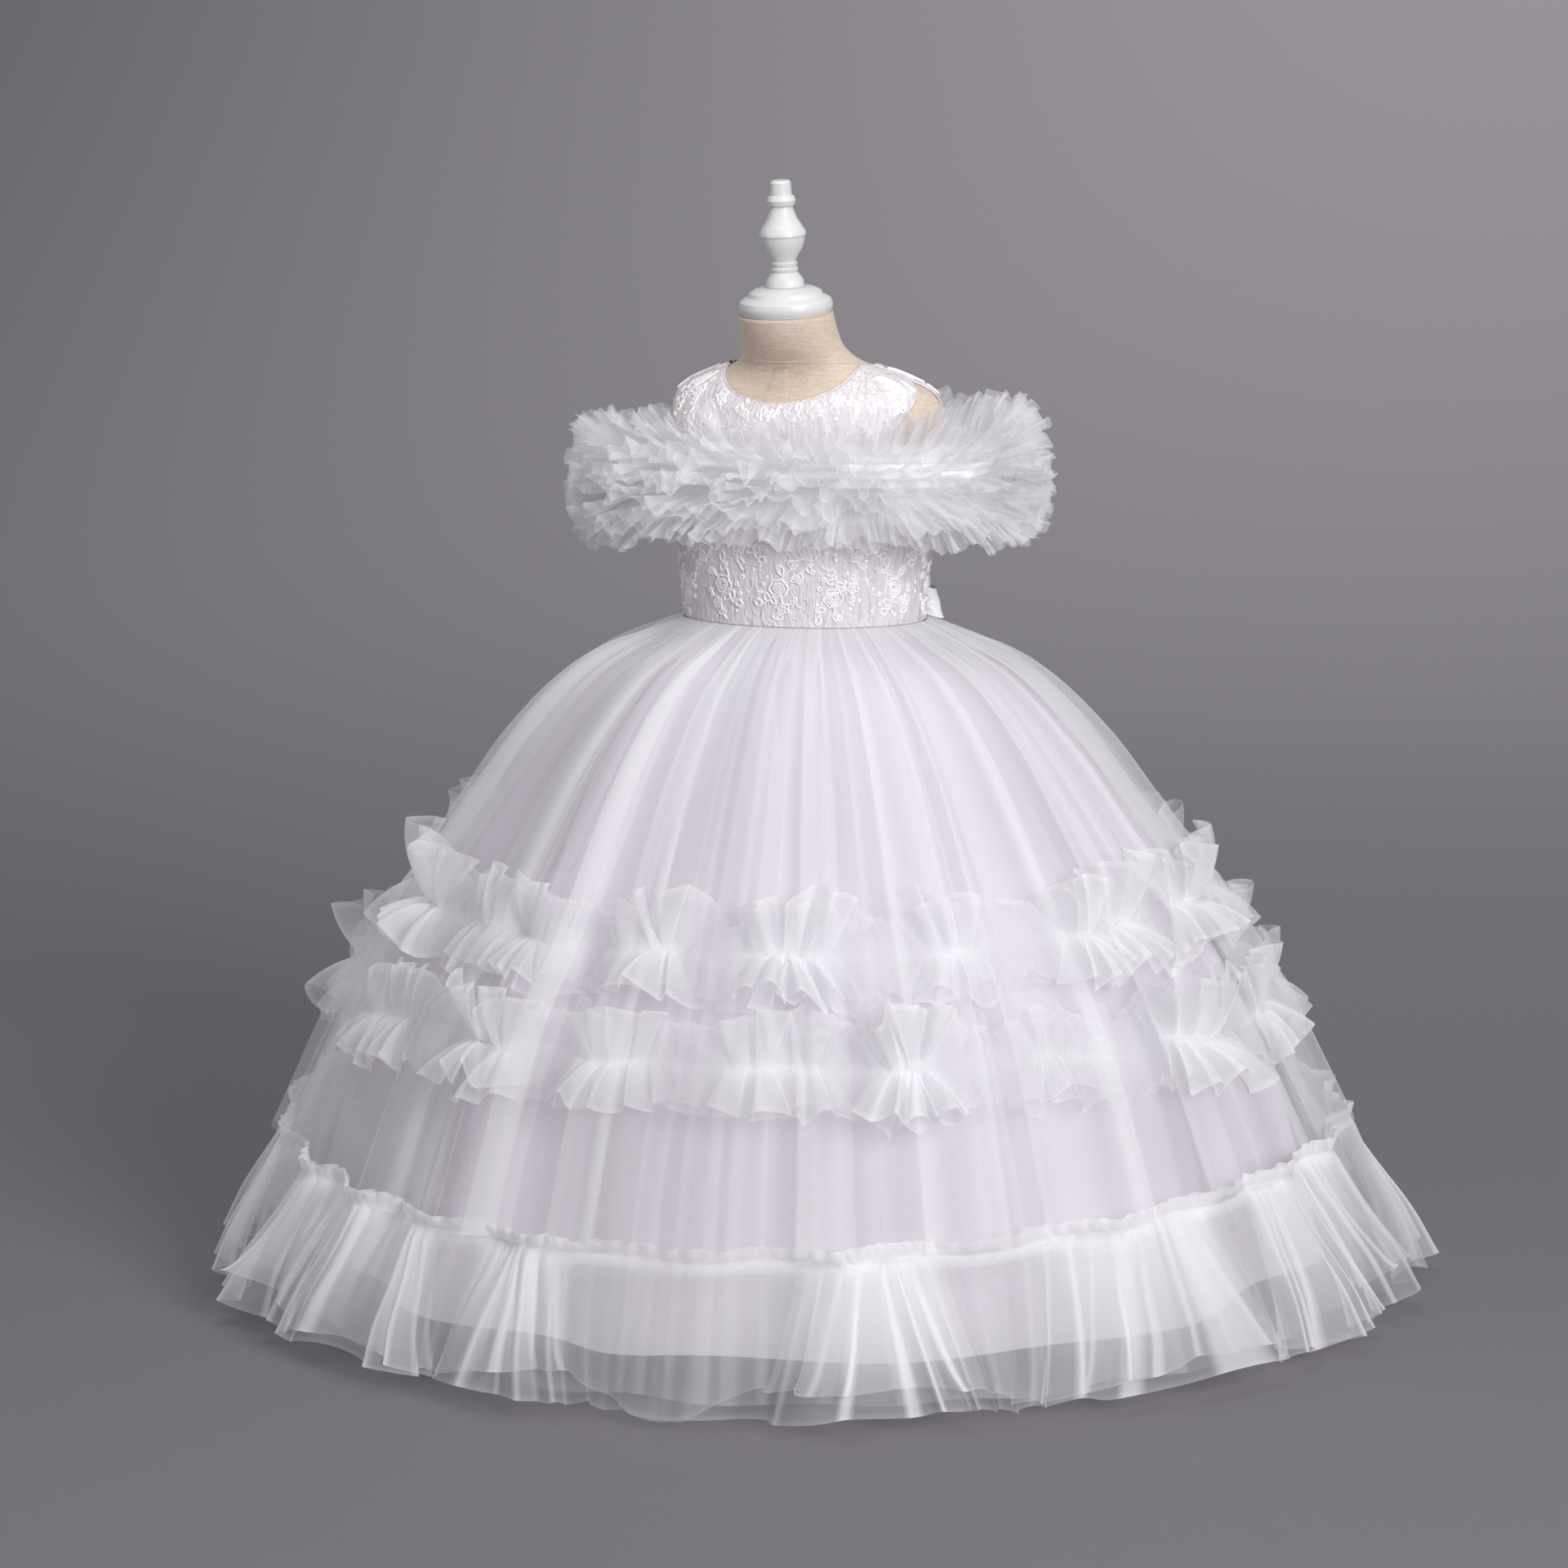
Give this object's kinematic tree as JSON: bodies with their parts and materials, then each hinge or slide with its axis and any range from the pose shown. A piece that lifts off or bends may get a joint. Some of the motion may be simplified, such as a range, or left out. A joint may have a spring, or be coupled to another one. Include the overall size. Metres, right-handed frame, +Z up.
{
  "type": "child's princess dress on a limbless dress form with a stand",
  "caption": "Floor-length tulle ball gown with a lace bodice, a ruffled off-shoulder band, frilled skirt and hem flounce, on a linen dress form.",
  "frame": {"origin": "centre of the underside of the stand's round base, on the axis of its pole", "axes": "+Z up; -Y is the front of the gown; +X is the wearer's left"},
  "size_m": [1.0273, 1.0293, 0.9207],
  "materials": {
    "lace": "satin with embroidered lace, soft sheen",
    "tulle": "matt sheer net",
    "satin": "soft satin sheen",
    "lining": "soft satin sheen",
    "linen": "matt plain weave",
    "painted_wood": "white satin paint"
  },
  "bodies": {
    "root": {"form_torso": "linen", "form_neck_cap": "painted_wood", "form_finial": "painted_wood", "stand_pole": "painted_wood", "stand_base": "painted_wood", "bodice_front": "lace", "bodice_back_left": "lace", "bodice_back_right": "lace", "back_zip": "satin", "skirt_lining_front": "lining", "skirt_lining_back": "lining", "skirt_tulle_front": "tulle", "skirt_tulle_back": "tulle", "skirt_frill_upper": "tulle", "skirt_frill_lower": "tulle", "hem_flounce_front": "tulle", "hem_flounce_back": "tulle", "bertha_band_front": "satin", "bertha_band_back": "satin", "sleeve_band_left": "satin", "sleeve_band_right": "satin", "bertha_ruffle_1": "tulle", "bertha_ruffle_2": "tulle", "bertha_ruffle_3": "tulle", "bertha_ruffle_4": "tulle", "bow_knot": "satin", "bow_loop_left": "satin", "bow_loop_right": "satin", "bow_tail_left": "satin", "bow_tail_right": "satin"}
  },
  "joints": []
}
